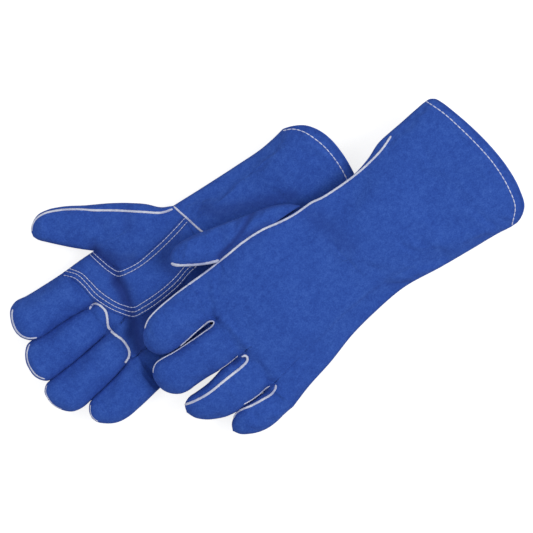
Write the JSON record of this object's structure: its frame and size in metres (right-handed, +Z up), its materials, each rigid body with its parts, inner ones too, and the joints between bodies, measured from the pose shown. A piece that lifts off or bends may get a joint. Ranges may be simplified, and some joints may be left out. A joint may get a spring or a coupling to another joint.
{
  "type": "cryogenic gloves",
  "caption": "Pair of long insulated split-leather gauntlets with welted seams, wing thumbs, palm patches and flared cuffs, one lying palm up under the other.",
  "frame": {"origin": "centre of the bottom of the bounding box, on the bench", "axes": "+X along the gloves from the fingertips to the cuff mouths, +Y towards the thumbs, +Z up from the bench"},
  "size_m": [0.4513, 0.2733, 0.0589],
  "materials": {
    "blue_leather": "napped split hide",
    "white_welt": "matte white welting",
    "fleece_lining": "brushed fleece"
  },
  "bodies": {
    "right_hand": {"right_back_panel": "blue_leather", "right_palm_panel": "blue_leather", "right_cuff_palm": "blue_leather", "right_palm_patch": "blue_leather", "right_cuff_hem": "blue_leather", "right_side_welt": "white_welt", "right_wrist_welt": "white_welt", "right_finger_base_welt": "white_welt", "right_hand_lining": "fleece_lining", "right_cuff_lining": "fleece_lining"},
    "right_little": {"right_little_back": "blue_leather", "right_little_palm": "blue_leather", "right_little_welt": "white_welt", "right_little_lining": "fleece_lining"},
    "right_ring": {"right_ring_back": "blue_leather", "right_ring_palm": "blue_leather", "right_ring_welt": "white_welt", "right_ring_lining": "fleece_lining"},
    "right_middle": {"right_middle_back": "blue_leather", "right_middle_palm": "blue_leather", "right_middle_welt": "white_welt", "right_middle_lining": "fleece_lining"},
    "right_index": {"right_index_back": "blue_leather", "right_index_palm": "blue_leather", "right_index_welt": "white_welt", "right_index_lining": "fleece_lining"},
    "right_thumb": {"right_thumb_back": "blue_leather", "right_thumb_palm": "blue_leather", "right_thumb_welt": "white_welt", "right_thumb_lining": "fleece_lining"},
    "left_hand": {"left_back_panel": "blue_leather", "left_palm_panel": "blue_leather", "left_cuff_palm": "blue_leather", "left_palm_patch": "blue_leather", "left_cuff_hem": "blue_leather", "left_side_welt": "white_welt", "left_wrist_welt": "white_welt", "left_finger_base_welt": "white_welt", "left_hand_lining": "fleece_lining", "left_cuff_lining": "fleece_lining"},
    "left_little": {"left_little_back": "blue_leather", "left_little_palm": "blue_leather", "left_little_welt": "white_welt", "left_little_lining": "fleece_lining"},
    "left_ring": {"left_ring_back": "blue_leather", "left_ring_palm": "blue_leather", "left_ring_welt": "white_welt", "left_ring_lining": "fleece_lining"},
    "left_middle": {"left_middle_back": "blue_leather", "left_middle_palm": "blue_leather", "left_middle_welt": "white_welt", "left_middle_lining": "fleece_lining"},
    "left_index": {"left_index_back": "blue_leather", "left_index_palm": "blue_leather", "left_index_welt": "white_welt", "left_index_lining": "fleece_lining"},
    "left_thumb": {"left_thumb_back": "blue_leather", "left_thumb_palm": "blue_leather", "left_thumb_welt": "white_welt", "left_thumb_lining": "fleece_lining"}
  },
  "joints": [
    {"name": "right_little_bend", "type": "hinge", "parent": "right_hand", "child": "right_little", "pos_m": [-0.143, -0.03696, 0.0275], "axis": [-0.1305, 0.9914, 0], "range_deg": [0, 60]},
    {"name": "right_ring_bend", "type": "hinge", "parent": "right_hand", "child": "right_ring", "pos_m": [-0.147, -0.00623, 0.0295], "axis": [-0.0589, 0.9983, 0], "range_deg": [0, 60]},
    {"name": "right_middle_bend", "type": "hinge", "parent": "right_hand", "child": "right_middle", "pos_m": [-0.147, 0.02775, 0.03], "axis": [-0.0161, 0.9999, 0], "range_deg": [0, 60]},
    {"name": "right_index_bend", "type": "hinge", "parent": "right_hand", "child": "right_index", "pos_m": [-0.151, 0.0636, 0.03], "axis": [0.0369, 0.9993, 0], "range_deg": [0, 60]},
    {"name": "right_thumb_bend", "type": "hinge", "parent": "right_hand", "child": "right_thumb", "pos_m": [-0.07859, 0.07923, 0.027], "axis": [0.9981, -0.0611, 0], "range_deg": [0, 50]},
    {"name": "left_glove_lift", "type": "slide", "parent": "right_hand", "child": "left_hand", "axis": [0, 0, 1], "range_m": [0, 0.12]},
    {"name": "left_little_bend", "type": "hinge", "parent": "left_hand", "child": "left_little", "pos_m": [-0.05, -0.12186, 0.02865], "axis": [-0.0257, 0.9997, 0], "range_deg": [0, 27]},
    {"name": "left_ring_bend", "type": "hinge", "parent": "left_hand", "child": "left_ring", "pos_m": [-0.054, -0.08833, 0.03568], "axis": [-0.0059, 1, 0], "range_deg": [0, 27]},
    {"name": "left_middle_bend", "type": "hinge", "parent": "left_hand", "child": "left_middle", "pos_m": [-0.062, -0.04754, 0.046], "axis": [-0.0161, 0.9999, 0], "range_deg": [0, 27]},
    {"name": "left_index_bend", "type": "hinge", "parent": "left_hand", "child": "left_index", "pos_m": [-0.064, -0.0089, 0.05628], "axis": [-0.0189, 0.9998, 0], "range_deg": [0, 27]},
    {"name": "left_thumb_bend", "type": "hinge", "parent": "left_hand", "child": "left_thumb", "pos_m": [0.01786, 0.00954, 0.05644], "axis": [0.9998, -0.0191, 0], "range_deg": [0, 27]}
  ]
}
